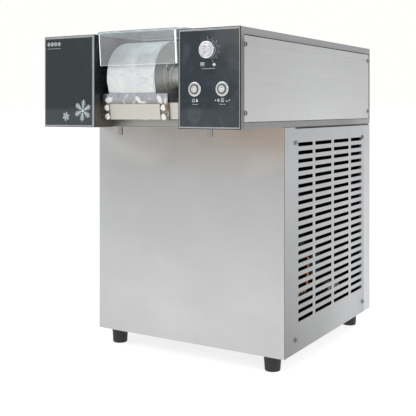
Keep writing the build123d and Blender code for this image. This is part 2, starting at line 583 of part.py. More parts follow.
def pipe(pts, r, rad):
    """Bent copper pipe: straight runs joined by arcs."""
    path = FilletPolyline(*pts, radius=rad)
    return sweep(Plane(origin=path @ 0, z_dir=path % 0) * Circle(r), path=path)


lines = Part()
# discharge from the compressor, past the right grille, across to the condenser
lines += pipe([(104, 372, -240), (104, 330, -240), (150, 330, -240), (150, 318, -300), (150, 240, -300), (60, 176, -300), (CTX, 176, -300)], 3.2, 9)
# suction from the drum's rotary union down to the compressor
lines += pipe([(40, 400, -206), (40, 400, -170), (124, 400, -170), (124, 222, -170), (124, 222, 30), (124, 120, 30)], 4.0, 16)
# liquid line up to the head
lines += pipe([(140, 222, -140), (140, 222, 20), (140, 130, 20)], 1.8, 12)
# filter drier on the liquid line
dr = cz(140, 222, 9, -232, -160) + cz(140, 222, 4, -245, -140)
dr = soft(dr, dr.edges().filter_by(GeomType.CIRCLE).filter_by(lambda e: e.radius > 8), 4)
lines += dr
lines -= cz(CPX, CPY, 64.05, -352, -205.1)
save("copper_lines", lines)

print("written", len(os.listdir("parts")))
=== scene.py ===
import bpy, bmesh, math
from mathutils import Vector, Matrix, noise


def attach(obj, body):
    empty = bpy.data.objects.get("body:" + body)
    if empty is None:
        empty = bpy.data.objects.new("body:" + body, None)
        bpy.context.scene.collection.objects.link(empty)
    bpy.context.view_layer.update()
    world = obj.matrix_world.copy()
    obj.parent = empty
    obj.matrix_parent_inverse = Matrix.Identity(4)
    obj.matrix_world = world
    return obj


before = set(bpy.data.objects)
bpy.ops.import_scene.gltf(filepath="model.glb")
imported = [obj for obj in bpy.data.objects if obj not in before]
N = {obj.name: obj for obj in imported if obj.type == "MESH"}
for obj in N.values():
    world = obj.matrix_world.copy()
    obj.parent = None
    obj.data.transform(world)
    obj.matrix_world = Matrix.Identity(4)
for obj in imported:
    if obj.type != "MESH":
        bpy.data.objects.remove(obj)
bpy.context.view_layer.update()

COL = bpy.context.scene.collection
YC, ZH = 268.0, 402.0          # the part's working axes: x, y - YC, z + ZH, in mm


def P(x, y, z):
    return Vector((x / 1000.0, (y - YC) / 1000.0, (z + ZH) / 1000.0))


# ============================================================ node helpers
class Mat:
    def __init__(self, name):
        self.m = bpy.data.materials.new(name)
        self.m.use_nodes = True
        self.t = self.m.node_tree
        self.b = self.t.nodes["Principled BSDF"]
        self.out = self.t.nodes["Material Output"]
        self.co = self.new("ShaderNodeTexCoord").outputs["Object"]

    def new(self, kind):
        return self.t.nodes.new(kind)

    def link(self, a, b):
        self.t.links.new(a, b)

    def put(self, sock, v):
        if hasattr(v, "is_output") or hasattr(v, "links"):
            self.link(v, sock)
        else:
            sock.default_value = v

    def set(self, **kw):
        names = {"base": "Base Color", "metal": "Metallic", "rough": "Roughness", "ior": "IOR", "coat": "Coat Weight",
                 "coat_rough": "Coat Roughness", "trans": "Transmission Weight", "spec": "Specular IOR Level",
                 "sss": "Subsurface Weight", "sss_scale": "Subsurface Scale", "sheen": "Sheen Weight", "normal": "Normal",
                 "aniso": "Anisotropic", "emit": "Emission Color", "emit_s": "Emission Strength", "alpha": "Alpha",
                 "sss_r": "Subsurface Radius", "sheen_rough": "Sheen Roughness", "spec_tint": "Specular Tint"}
        for k, v in kw.items():
            if k in ("base", "emit", "spec_tint") and isinstance(v, (tuple, list)) and len(v) == 3:
                v = (*v, 1.0)
            self.put(self.b.inputs[names[k]], v)
        return self

    def map(self, scale=(1, 1, 1), rot=(0, 0, 0), loc=(0, 0, 0), vec=None):
        n = self.new("ShaderNodeMapping")
        n.inputs["Scale"].default_value = scale
        n.inputs["Rotation"].default_value = rot
        n.inputs["Location"].default_value = loc
        self.link(vec or self.co, n.inputs["Vector"])
        return n.outputs["Vector"]

    def noise(self, scale, detail=3.0, rough=0.5, vec=None, dist=0.0):
        n = self.new("ShaderNodeTexNoise")
        n.inputs["Scale"].default_value = scale
        n.inputs["Detail"].default_value = detail
        n.inputs["Roughness"].default_value = rough
        n.inputs["Distortion"].default_value = dist
        self.link(vec or self.co, n.inputs["Vector"])
        return n.outputs["Fac"]

    def voro(self, scale, feature="F1", vec=None, rand=1.0):
        n = self.new("ShaderNodeTexVoronoi")
        n.feature = feature
        n.inputs["Scale"].default_value = scale
        n.inputs["Randomness"].default_value = rand
        self.link(vec or self.co, n.inputs["Vector"])
        return n.outputs["Distance"]

    def ramp(self, fac, stops):
        n = self.new("ShaderNodeValToRGB")
        cr = n.color_ramp
        while len(cr.elements) > 1:
            cr.elements.remove(cr.elements[-1])
        for i, (p, c) in enumerate(stops):
            c = (c, c, c, 1.0) if isinstance(c, (int, float)) else (*c, 1.0)
            e = cr.elements[0] if i == 0 else cr.elements.new(p)
            e.position = p
            e.color = c
        self.link(fac, n.inputs["Fac"])
        return n.outputs["Color"]

    def rng(self, fac, a, b, c, d):
        n = self.new("ShaderNodeMapRange")
        self.link(fac, n.inputs["Value"])
        for k, v in (("From Min", a), ("From Max", b), ("To Min", c), ("To Max", d)):
            n.inputs[k].default_value = v
        return n.outputs["Result"]

    def math(self, op, a, b=0.0):
        n = self.new("ShaderNodeMath")
        n.operation = op
        self.put(n.inputs[0], a)
        self.put(n.inputs[1], b)
        return n.outputs[0]

    def mix(self, fac, a, b, mode="MIX"):
        n = self.new("ShaderNodeMix")
        n.data_type = "RGBA"
        n.blend_type = mode
        self.put(n.inputs[0], fac)
        for s, v in ((n.inputs[6], a), (n.inputs[7], b)):
            if isinstance(v, (tuple, list)) and len(v) == 3:
                v = (*v, 1.0)
            self.put(s, v)
        return n.outputs[2]

    def bump(self, h, strength, dist, normal=None):
        n = self.new("ShaderNodeBump")
        n.inputs["Strength"].default_value = strength
        n.inputs["Distance"].default_value = dist
        self.link(h, n.inputs["Height"])
        if normal is not None:
            self.link(normal, n.inputs["Normal"])
        return n.outputs["Normal"]

    def sep(self, vec=None):
        n = self.new("ShaderNodeSeparateXYZ")
        self.link(vec or self.co, n.inputs[0])
        return n.outputs


STRETCH = {"x": (2.5, 900, 900), "y": (900, 2.5, 900), "z": (900, 900, 2.5)}
FINE = {"x": (9, 3200, 3200), "y": (3200, 9, 3200), "z": (3200, 3200, 9)}


def inner_mask(a, kind):
    """1 on the faces turned to the inside of the cabinet, 0 on the show faces; the inside faces get painted shade."""
    s = a.sep()
    ax = a.math("ABSOLUTE", s[0])
    if kind == "side":
        return a.math("LESS_THAN", ax, 0.18960)
    if kind == "front":
        return a.math("GREATER_THAN", s[1], (146.5 - YC) / 1000)
    if kind == "case":
        zin = a.math("MULTIPLY", a.math("GREATER_THAN", s[2], (1.0 + ZH) / 1000), a.math("LESS_THAN", s[2], (151.0 + ZH) / 1000))
        return a.math("MULTIPLY", a.math("MULTIPLY", a.math("LESS_THAN", ax, 0.1891), zin), a.math("GREATER_THAN", s[1], (1.8 - YC) / 1000))
    return a.math("MULTIPLY", a.math("LESS_THAN", ax, 0.1892), a.math("LESS_THAN", s[1], (544.4 - YC) / 1000))


def brushed(name, grain, base=(0.60, 0.595, 0.585), r0=0.26, r1=0.40, depth=1.0, streak=0.05, film=0.06, metal=1.0, inner_shade=None, shade=None):
    """Brushed sheet: long fine scratches along one axis, a few deeper ones, and a handled film."""
    a = Mat(name)
    g1 = a.noise(1.0, 4.0, 0.62, a.map(STRETCH[grain]))
    g2 = a.noise(1.0, 2.0, 0.5, a.map(FINE[grain]))
    film_n = a.noise(9.0, 5.0, 0.6, dist=0.4)
    cloud = a.noise(3.1, 3.0, 0.55, a.map(loc=(3.3, 1.7, 0.4)))
    lo = tuple(c * (1 - streak) for c in base)
    hi = tuple(min(1.0, c * (1 + streak)) for c in base)
    col = a.ramp(a.math("ADD", a.math("MULTIPLY", g1, 0.7), a.math("MULTIPLY", g2, 0.3)), [(0.30, lo), (0.70, hi)])
    col = a.mix(a.rng(film_n, 0.42, 0.72, 0.0, film), col, tuple(c * 0.86 for c in base))
    col = a.mix(a.rng(cloud, 0.35, 0.7, 0.0, 0.10), col, (base[0] * 1.03, base[1] * 1.0, base[2] * 0.95))
    ro = a.math("ADD", a.rng(g1, 0.3, 0.7, r0, r1), a.rng(film_n, 0.45, 0.75, 0.0, 0.10))
    h = a.math("ADD", a.math("MULTIPLY", g1, 0.65), a.math("MULTIPLY", g2, 0.35))
    if shade:
        col = shade(a, col, film_n)
    if inner_shade:
        mask = inner_mask(a, inner_shade)
        # painted shade: the faces turned to the inside of the cabinet are painted near black and non-metal, for the
        # dark inside
        col = a.mix(mask, col, (0.010, 0.010, 0.011))
        metal = a.math("SUBTRACT", 1.0, mask)
    a.set(base=col, metal=metal, rough=ro, normal=a.bump(h, 0.30 * depth, 0.00025))
    return a.m


def turned(name, base=(0.60, 0.60, 0.61), axis_y=None, axis_z=None, r0=0.22, r1=0.36, depth=1.0, metal=1.0):
    """Lathe-turned steel: fine rings about an X axis through (axis_y, axis_z)."""
    a = Mat(name)
    s = a.sep()
    dy = a.math("SUBTRACT", s[1], axis_y or 0.0)
    dz = a.math("SUBTRACT", s[2], axis_z or 0.0)
    rad = a.math("SQRT", a.math("ADD", a.math("MULTIPLY", dy, dy), a.math("MULTIPLY", dz, dz)))
    comb = a.new("ShaderNodeCombineXYZ")
    a.link(a.math("MULTIPLY", rad, 1500.0), comb.inputs[0])
    a.link(a.math("MULTIPLY", s[0], 1500.0), comb.inputs[1])
    ring = a.noise(1.0, 3.0, 0.6, comb.outputs[0])
    wide = a.noise(14.0, 4.0, 0.6)
    col = a.ramp(ring, [(0.3, tuple(c * 0.92 for c in base)), (0.7, tuple(min(1, c * 1.06) for c in base))])
    col = a.mix(a.rng(wide, 0.4, 0.7, 0.0, 0.22), col, tuple(c * 0.72 for c in base))
    ro = a.math("ADD", a.rng(ring, 0.3, 0.7, r0, r1), a.rng(wide, 0.4, 0.7, 0.0, 0.12))
    a.set(base=col, metal=metal, rough=ro, normal=a.bump(ring, 0.25 * depth, 0.0002))
    return a.m


def plain_metal(name, base, r0, r1, scale=40.0, bump=0.15, metal=1.0):
    a = Mat(name)
    n1 = a.noise(scale, 5.0, 0.6)
    n2 = a.noise(scale * 9, 3.0, 0.6)
    col = a.ramp(n1, [(0.3, tuple(c * 0.86 for c in base)), (0.7, tuple(min(1, c * 1.08) for c in base))])
    a.set(base=col, metal=metal, rough=a.rng(n1, 0.3, 0.7, r0, r1), normal=a.bump(n2, bump, 0.0003))
    return a.m


def moulded(name, base, rough=0.5, grain=2600.0, bump=0.35, dist=0.00012, var=0.12, sss=0.0):
    """Moulded plastic or rubber with a fine spark-eroded texture and slight colour drift."""
    a = Mat(name)
    big = a.noise(18.0, 4.0, 0.55)
    fine = a.voro(grain)
    fn = a.noise(grain * 0.6, 2.0, 0.5)
    col = a.ramp(big, [(0.3, tuple(c * (1 - var) for c in base)), (0.7, tuple(min(1, c * (1 + var)) for c in base))])
    ro = a.math("ADD", a.rng(big, 0.3, 0.7, rough - 0.05, rough + 0.06), a.rng(fn, 0.3, 0.7, -0.03, 0.03))
    a.set(base=col, rough=ro, normal=a.bump(a.math("ADD", fine, fn), bump, dist))
    if sss:
        a.set(sss=sss, sss_scale=0.004)
    return a.m


# ============================================================ materials
MY, MZ = (72 - YC) / 1000, (81.5 + ZH) / 1000        # drum axis



def front_shade(a, col, n):
    """Painted shade under the overhanging head, darker towards the top, over random blotches; a painted cool reflection
    at the left edge and a painted warm reflection near the top.
    """
    s = a.sep()
    zz = a.math("ADD", s[2], a.math("MULTIPLY", a.math("SUBTRACT", n, 0.5), 0.03))
    # painted shade: darker towards the top, under the overhanging head
    up = a.rng(zz, (ZH - 300) / 1000, (ZH - 60) / 1000, 0.0, 1.0)
    col = a.mix(a.math("MULTIPLY", up, 0.72), col, tuple(c * 0.66 for c in FRONT_BASE))
    blot = a.noise(4.4, 4.0, 0.5, a.map((0.8, 1.0, 1.5), loc=(0.35, 2.2, 1.3)), dist=0.35)
    col = a.mix(a.rng(blot, 0.50, 0.68, 0.0, 0.45), col, tuple(c * 0.84 for c in FRONT_BASE))
    col = a.mix(a.rng(blot, 0.46, 0.32, 0.0, 0.40), col, tuple(c * 1.12 for c in FRONT_BASE))
    # painted cool reflection along the left edge
    cool_reflection = a.rng(s[0], -0.19, -0.15, 1.0, 0.0)
    col = a.mix(a.math("MULTIPLY", cool_reflection, 0.35), col, (0.47, 0.49, 0.52))
    # painted warm reflection near the top, stronger to the right
    warm_reflection = a.math("MULTIPLY", a.rng(zz, (ZH - 90) / 1000, (ZH - 5) / 1000, 0.0, 1.0), a.rng(s[0], -0.14, 0.19, 0.15, 1.0))
    return a.mix(a.math("MULTIPLY", warm_reflection, 0.9), col, (0.43, 0.345, 0.28))


def side_shade(a, col, n):
    """Painted shade and reflection: duller towards the floor and the front corner, brighter at the rear."""
    s = a.sep()
    down = a.rng(a.math("ADD", s[2], a.math("MULTIPLY", n, 0.05)), 0.03, 0.36, 1.0, 0.0)
    front = a.rng(s[1], (150 - YC) / 1000, (470 - YC) / 1000, 1.0, 0.0)
    k = a.math("ADD", a.math("MULTIPLY", a.math("MULTIPLY", down, front), 0.75), a.math("MULTIPLY", front, 0.20))
    col = a.mix(k, col, (0.205, 0.205, 0.200))
    rear = a.rng(s[1], (440 - YC) / 1000, (505 - YC) / 1000, 0.0, 1.0)
    low2 = a.rng(s[2], 0.36, 0.20, 0.0, 1.0)
    col = a.mix(a.math("MULTIPLY", a.math("MULTIPLY", rear, low2), 0.55), col, (0.33, 0.335, 0.345))
    return a.mix(a.math("MULTIPLY", down, 0.12), col, (0.30, 0.30, 0.30))


def head_shade(a, col, n):
    s = a.sep()
    # painted shade: darker towards the front; the blots below are random tone
    front = a.rng(s[1], (10 - YC) / 1000, (260 - YC) / 1000, 1.0, 0.0)
    col = a.mix(a.math("MULTIPLY", front, 0.45), col, (0.47, 0.468, 0.445))
    blot = a.noise(7.0, 4.0, 0.55, a.map((1.0, 0.6, 1.0), loc=(1.35, 0.2, 0.3)), dist=0.9)
    return a.mix(a.rng(blot, 0.48, 0.68, 0.0, 0.35), col, (0.50, 0.50, 0.50))


def case_shade(a, col, n):
    s = a.sep()
    up = a.rng(s[2], (130 + ZH) / 1000, (146 + ZH) / 1000, 0.0, 1.0)
    rear = a.rng(s[1], (430 - YC) / 1000, (530 - YC) / 1000, 0.0, 1.0)
    # painted shade: darkened at the front end, up to y = 14 mm, so the gap round the side cover reads dark
    col = a.mix(a.rng(s[1], (11 - YC) / 1000, (14 - YC) / 1000, 0.5, 0.0), col, (0.17, 0.17, 0.17))
    # painted highlight: lighter at the top and towards the rear
    return a.mix(a.math("MAXIMUM", a.math("MULTIPLY", up, 0.75), a.math("MULTIPLY", rear, 0.7)), col, (0.44, 0.44, 0.445))


def blade_shade(a, col, n):
    """Juice-stained just above the clamp, clean and cold-looking near the edge."""
    s = a.sep()
    low = a.rng(a.math("ADD", s[2], a.math("MULTIPLY", a.math("SUBTRACT", n, 0.5), 0.012)), (38 + ZH) / 1000, (46 + ZH) / 1000, 1.0, 0.0)
    col = a.mix(a.math("MULTIPLY", low, 0.92), col, (0.23, 0.175, 0.125))
    wet = a.noise(85.0, 5.0, 0.6, a.map((1.0, 1.0, 0.8), rot=(0, 0.5, 0)), dist=0.8)
    col = a.mix(a.rng(wet, 0.55, 0.66, 0.0, 0.55), col, (0.62, 0.64, 0.66))
    return a.mix(a.rng(wet, 0.44, 0.34, 0.0, 0.45), col, (0.20, 0.21, 0.225))


def bezel_shade(a, col, n):
    """Painted dark reflection round the outer edge of each pod's front, standing in for the rolled polished edge; the
    strip next to the glass keeps the lighter base colour.
    """
    s = a.sep()
    ax = a.math("ABSOLUTE", s[0])
    d = a.math("MINIMUM", a.math("SUBTRACT", 0.190, ax), a.math("SUBTRACT", ax, 0.0815))
    d = a.math("MINIMUM", d, a.math("MINIMUM", a.math("SUBTRACT", (152.0 + ZH) / 1000, s[2]), a.math("SUBTRACT", s[2], ZH / 1000)))
    d = a.math("ADD", d, a.math("MULTIPLY", a.math("SUBTRACT", n, 0.5), 0.0002))
    return a.mix(a.rng(d, 0.00095, 0.00115, 1.0, 0.0), col, (0.022, 0.023, 0.025))


# The stainless sheets below are one steel: their differing base colours are painted light and shade, each set to how
# bright that face shows; the bezel is made darker for the dark surroundings it reflects.
FRONT_BASE = (0.515, 0.517, 0.515)
steel_front = brushed("stainless_front", "x", base=FRONT_BASE, r0=0.30, r1=0.42, inner_shade="front", shade=front_shade)
steel_side = brushed("stainless_side", "z", base=(0.485, 0.49, 0.50), r0=0.30, r1=0.42, inner_shade="side", shade=side_shade)
steel_head = brushed("stainless_head", "y", base=(0.63, 0.632, 0.630), r0=0.27, r1=0.40, shade=head_shade)
steel_case = brushed("stainless_case", "y", base=(0.262, 0.264, 0.265), r0=0.28, r1=0.42, inner_shade="case", shade=case_shade)
steel_rear = brushed("stainless_rear", "z", base=(0.54, 0.545, 0.555), r0=0.30, r1=0.42, inner_shade="rear")
steel_rear_head = brushed("stainless_rear_head", "x", base=(0.58, 0.58, 0.575), r0=0.30, r1=0.42)
steel_bezel = brushed("stainless_bezel", "z", base=(0.36, 0.37, 0.385), r0=0.20, r1=0.32, depth=0.6, shade=bezel_shade)
steel_lip = brushed("stainless_lip", "x", base=(0.37, 0.368, 0.345), r0=0.30, r1=0.45)
steel_bar = brushed("stainless_bar", "x", base=(0.525, 0.52, 0.478), r0=0.34, r1=0.50, depth=1.3, streak=0.08)
steel_drum = turned("drum_skin", base=(0.66, 0.68, 0.70), axis_y=MY, axis_z=MZ)
steel_turned = turned("turned_steel", base=(0.56, 0.57, 0.575), axis_y=MY, axis_z=MZ, r0=0.24, r1=0.38)
# painted light: a lighter, less metallic copy of the turned steel, so the hub, end disc and shaft show lit inside the
# dark chamber
steel_hub_lit = turned("hub_steel_lit", base=(0.80, 0.795, 0.78), axis_y=MY, axis_z=MZ, r0=0.26, r1=0.42, metal=0.38)
steel_blade = brushed("blade_steel", "x", base=(0.33, 0.345, 0.37), r0=0.12, r1=0.26, depth=0.6, streak=0.06, film=0.14, shade=blade_shade)
blade_screw_m = plain_metal("blade_screw_plate", (0.74, 0.735, 0.70), 0.22, 0.36, 300, 0.2, metal=0.75)
zinc = plain_metal("zinc_plate", (0.17, 0.175, 0.185), 0.38, 0.55, 30)
screw_m = plain_metal("screw_plate", (0.24, 0.24, 0.24), 0.20, 0.34, 300, 0.2)
spout_m = plain_metal("spout_steel", (0.34, 0.33, 0.31), 0.16, 0.28, 200, 0.2)
cast = plain_metal("die_cast", (0.42, 0.43, 0.44), 0.42, 0.6, 500, 0.5)
copper = plain_metal("copper_tube", (0.78, 0.36, 0.20), 0.22, 0.42, 60, 0.12)
alu = plain_metal("aluminium_fin", (0.45, 0.46, 0.47), 0.34, 0.5, 60, 0.1)
chrome = plain_metal("chrome", (0.80, 0.80, 0.82), 0.06, 0.12, 120, 0.04)
knob_m = plain_metal("satin_chrome", (0.78, 0.78, 0.81), 0.14, 0.24, 160, 0.06)
motor = plain_metal("motor_enamel", (0.16, 0.17, 0.18), 0.38, 0.5, 60, 0.2, metal=0.0)
enamel = plain_metal("compressor_enamel", (0.012, 0.012, 0.013), 0.22, 0.34, 40, 0.15, metal=0.0)
black_sheet = moulded("black_powder_coat", (0.012, 0.012, 0.013), 0.46, 1800, 0.35)


def liner():
    """Dark chamber liner; a painted olive reflection on its lower part at the left, and a brown tint over the right
    half.
    """
    a = Mat("chamber_lining")
    n = a.noise(26.0, 4.0, 0.6, dist=0.5)
    fine = a.noise(1400.0, 3.0, 0.6)
    s = a.sep()
    low = a.rng(a.math("ADD", s[2], a.math("MULTIPLY", a.math("SUBTRACT", n, 0.5), 0.02)), (24 + ZH) / 1000, (44 + ZH) / 1000, 1.0, 0.0)
    left = a.math("LESS_THAN", s[0], 0.0)
    col = a.ramp(n, [(0.3, (0.013, 0.014, 0.016)), (0.7, (0.021, 0.022, 0.024))])
    col = a.mix(a.math("SUBTRACT", 1.0, left), col, (0.030, 0.022, 0.015))
    # painted reflection: olive sheen on the lower left part
    olive_sheen_left = a.math("MULTIPLY", low, left)
    col = a.mix(a.math("MULTIPLY", olive_sheen_left, 0.9), col, (0.125, 0.118, 0.098))
    a.set(base=col, rough=a.rng(n, 0.3, 0.7, 0.24, 0.40), metal=a.math("MULTIPLY", olive_sheen_left, 0.4), normal=a.bump(fine, 0.2, 0.0002))
    return a.m


liner_m = liner()
black_plastic = moulded("black_plastic", (0.014, 0.014, 0.015), 0.48)
rubber = moulded("black_rubber", (0.011, 0.011, 0.012), 0.56, 2000, 0.5)
silicone = moulded("grey_silicone", (0.32, 0.32, 0.31), 0.5, 2000, 0.3)
tank_m = moulded("tank_plastic", (0.72, 0.79, 0.84), 0.30, 1500, 0.15, var=0.04, sss=0.25)
board = moulded("board_lacquer", (0.02, 0.13, 0.05), 0.28, 900, 0.2)


def black_glass():
    a = Mat("fascia_glass")
    smear = a.noise(16.0, 5.0, 0.62, a.map((1.0, 1.0, 0.45), rot=(0, 0.6, 0)), dist=0.9)
    prints = a.noise(130.0, 4.0, 0.7)
    col = a.ramp(a.noise(6.0, 3.0, 0.5), [(0.3, (0.0070, 0.0150, 0.0205)), (0.7, (0.0105, 0.0195, 0.0265))])
    dirt = a.math("MULTIPLY", a.rng(smear, 0.52, 0.75, 0.0, 1.0), a.rng(prints, 0.4, 0.65, 0.3, 1.0))
    s = a.sep()
    # painted warm reflection in the upper right corner of the right glass
    corner_warm_reflection = a.math("MULTIPLY", a.rng(s[0], 0.135, 0.186, 0.0, 1.0), a.rng(s[2], (80 + ZH) / 1000, (146 + ZH) / 1000, 0.0, 1.0))
    cloud = a.noise(20.0, 3.0, 0.55, a.map((1.0, 1.0, 0.7), rot=(0, 0.5, 0)), dist=1.6)
    col = a.mix(a.math("MULTIPLY", corner_warm_reflection, a.rng(cloud, 0.35, 0.65, 0.35, 1.0)), col, (0.085, 0.072, 0.058))
    # painted reflection: soft swirled sheen on the right glass
    sheen = a.math("MULTIPLY", a.rng(cloud, 0.52, 0.70, 0.0, 0.75), a.rng(s[0], 0.08, 0.10, 0.0, 1.0))
    col = a.mix(sheen, col, (0.050, 0.058, 0.072))
    lp_ = a.math("LESS_THAN", s[0], 0.0)
    col = a.mix(a.math("MULTIPLY", lp_, 0.8), col, (0.0075, 0.0165, 0.0175))
    a.set(base=a.mix(a.math("MULTIPLY", dirt, 0.35), col, (0.045, 0.055, 0.06)),
          rough=a.math("ADD", a.math("MULTIPLY", dirt, 0.14), 0.035), ior=1.52, spec=0.62)
    return a.m


glass_m = black_glass()


def acrylic():
    a = Mat("clear_acrylic")
    haze = a.noise(22.0, 5.0, 0.6, dist=0.8)
    drops = a.noise(160.0, 4.0, 0.65)
    fog = a.math("ADD", a.rng(haze, 0.35, 0.70, 0.0, 0.07), a.rng(drops, 0.50, 0.75, 0.0, 0.05))
    s = a.sep()
    top = a.math("GREATER_THAN", s[2], (152.25 + ZH) / 1000)
    col = a.mix(top, a.ramp(haze, [(0.3, (0.975, 0.985, 0.99)), (0.7, (0.95, 0.965, 0.97))]), (0.80, 0.905, 0.89))
    a.set(base=col,
          rough=a.rng(haze, 0.40, 0.75, 0.02, 0.08), trans=a.math("SUBTRACT", 0.95, fog), ior=1.49)
    return a.m


acrylic_m = acrylic()


def edge_acrylic():
    """Sawn and flame-polished sheet edge, near-white with a teal cast; its glow is painted light, an emission standing
    in for the light the edge gathers.
    """
    a = Mat("acrylic_edge_glow")
    n = a.noise(260.0, 3.0, 0.6, a.map((1, 1, 0.2)))
    # painted light: the emission makes the edge glow
    a.set(base=a.ramp(n, [(0.3, (0.86, 0.95, 0.94)), (0.7, (0.97, 1.0, 1.0))]), rough=a.rng(n, 0.3, 0.7, 0.18, 0.34),
          sss=0.4, sss_scale=0.003, emit=(0.93, 0.98, 1.0), emit_s=0.55, coat=0.3)
    return a.m


edge_glow_m = edge_acrylic()


def frost():
    a = Mat("frost")
    s = a.sep()
    streak = a.noise(1.0, 4.0, 0.65, a.map((220, 30, 30)))
    grain = a.noise(900.0, 4.0, 0.7)
    patch = a.noise(34.0, 5.0, 0.6, dist=0.6)
    wet = a.noise(70.0, 4.0, 0.65, a.map(loc=(1.1, 0.3, 0.9)))
    hi = a.rng(a.math("ADD", s[2], a.math("MULTIPLY", a.math("SUBTRACT", patch, 0.5), 0.06)), (92 + ZH) / 1000, (132 + ZH) / 1000, 0.0, 1.0)
    low = a.ramp(patch, [(0.30, (0.53, 0.545, 0.55)), (0.52, (0.625, 0.635, 0.635)), (0.70, (0.71, 0.712, 0.705))])
    top = a.ramp(patch, [(0.30, (0.50, 0.57, 0.62)), (0.48, (0.78, 0.83, 0.87)), (0.62, (0.96, 0.98, 1.0))])
    cold = a.rng(a.math("ADD", s[0], a.math("MULTIPLY", a.math("SUBTRACT", patch, 0.5), 0.05)), -0.045, 0.0, 1.0, 0.0)
    top = a.mix(a.math("MULTIPLY", cold, 0.75), top, (0.36, 0.43, 0.48))
    col = a.mix(hi, low, top)
    col = a.mix(a.rng(streak, 0.35, 0.65, 0.0, 0.16), col, (0.58, 0.62, 0.645))
    smudge = a.noise(60.0, 5.0, 0.65, a.map((0.8, 1.0, 2.2), loc=(1.1, 0.3, 0.9)), dist=0.8)
    col = a.mix(a.rng(smudge, 0.58, 0.68, 0.0, 0.60), col, (0.33, 0.315, 0.285))
    speck = a.noise(430.0, 3.0, 0.6, a.map(loc=(2.1, 0.7, 0.2)))
    col = a.mix(a.rng(speck, 0.60, 0.70, 0.0, 0.30), col, (0.40, 0.44, 0.47))
    col = a.mix(a.rng(speck, 0.40, 0.30, 0.0, 0.45), col, (0.92, 0.93, 0.935))
    a.set(base=col, rough=a.rng(wet, 0.45, 0.70, 0.60, 0.30), sss=0.25, sss_scale=0.0025, sss_r=(0.8, 0.95, 1.0),
          normal=a.bump(a.math("ADD", a.math("MULTIPLY", grain, 0.6), a.math("MULTIPLY", patch, 1.0)), 0.8, 0.0009))
    return a.m


frost_m = frost()


def snow():
    a = Mat("wet_snow")
    g = a.noise(1500.0, 4.0, 0.7)
    a.set(base=a.ramp(g, [(0.3, (0.62, 0.65, 0.67)), (0.7, (0.82, 0.835, 0.84))]), rough=a.rng(g, 0.3, 0.7, 0.35, 0.6),
          sss=0.5, sss_scale=0.003, sss_r=(0.8, 0.95, 1.0), normal=a.bump(g, 0.6, 0.0005))
    return a.m


snow_m = snow()


def lens(name, rings_and_painted_light):
    """Milky button lens with moulded rings; the bright centre is a painted highlight and the dark band at the rim is
    painted shade for the gap round the cap.
    """
    a = Mat(name)
    n = a.noise(420.0, 4.0, 0.65)
    v = a.voro(700.0)
    col = a.ramp(n, [(0.30, (0.34, 0.37, 0.355)), (0.52, (0.56, 0.585, 0.56)), (0.72, (0.82, 0.84, 0.82))])
    rough = a.rng(n, 0.3, 0.7, 0.12, 0.24)
    if rings_and_painted_light:
        s = a.sep()
        dx = a.math("SUBTRACT", a.math("ABSOLUTE", a.math("SUBTRACT", s[0], 0.1357)), 0.024)
        dz = a.math("SUBTRACT", s[2], (60.0 + ZH) / 1000)
        r = a.math("MULTIPLY", a.math("SQRT", a.math("ADD", a.math("MULTIPLY", dx, dx), a.math("MULTIPLY", dz, dz))), 100.0)
        r = a.math("ADD", r, a.math("MULTIPLY", a.math("SUBTRACT", n, 0.5), 0.06))
        # moulded rings, and painted shade falling to near black at the rim for the gap round the cap
        k = a.ramp(r, [(0.0, 1.0), (0.13, 1.0), (0.19, 0.55), (0.26, 0.45), (0.32, 1.0), (0.47, 0.95), (0.53, 0.40), (0.60, 0.16), (0.66, 0.04), (0.72, 0.03)])
        col = a.mix(1.0, col, k, "MULTIPLY")
        # painted highlight: the bright centre
        col = a.mix(a.rng(r, 0.19, 0.14, 0.0, 0.8), col, (0.86, 0.88, 0.86))
    a.set(base=col, rough=rough, coat=0.6, coat_rough=0.05, sss=0.15, sss_scale=0.0012, normal=a.bump(v, 0.25, 0.0004))
    return a.m


lens_m = lens("lens_plastic", True)
lamp_m = lens("lamp_lens", False)


def ink(name, c, e=0.0):
    a = Mat(name)
    n = a.noise(1400.0, 3.0, 0.6)
    a.set(base=a.ramp(n, [(0.3, tuple(x * 0.92 for x in c)), (0.7, c)]), rough=a.rng(n, 0.3, 0.7, 0.28, 0.42))
    if e:
        a.set(emit=c, emit_s=e)
    return a.m


ink_white = ink("ink_white", (0.62, 0.66, 0.68))
ink_frosty = ink("ink_frosty", (0.74, 0.81, 0.86))
ink_blue = ink("ink_blue", (0.72, 0.78, 0.86))

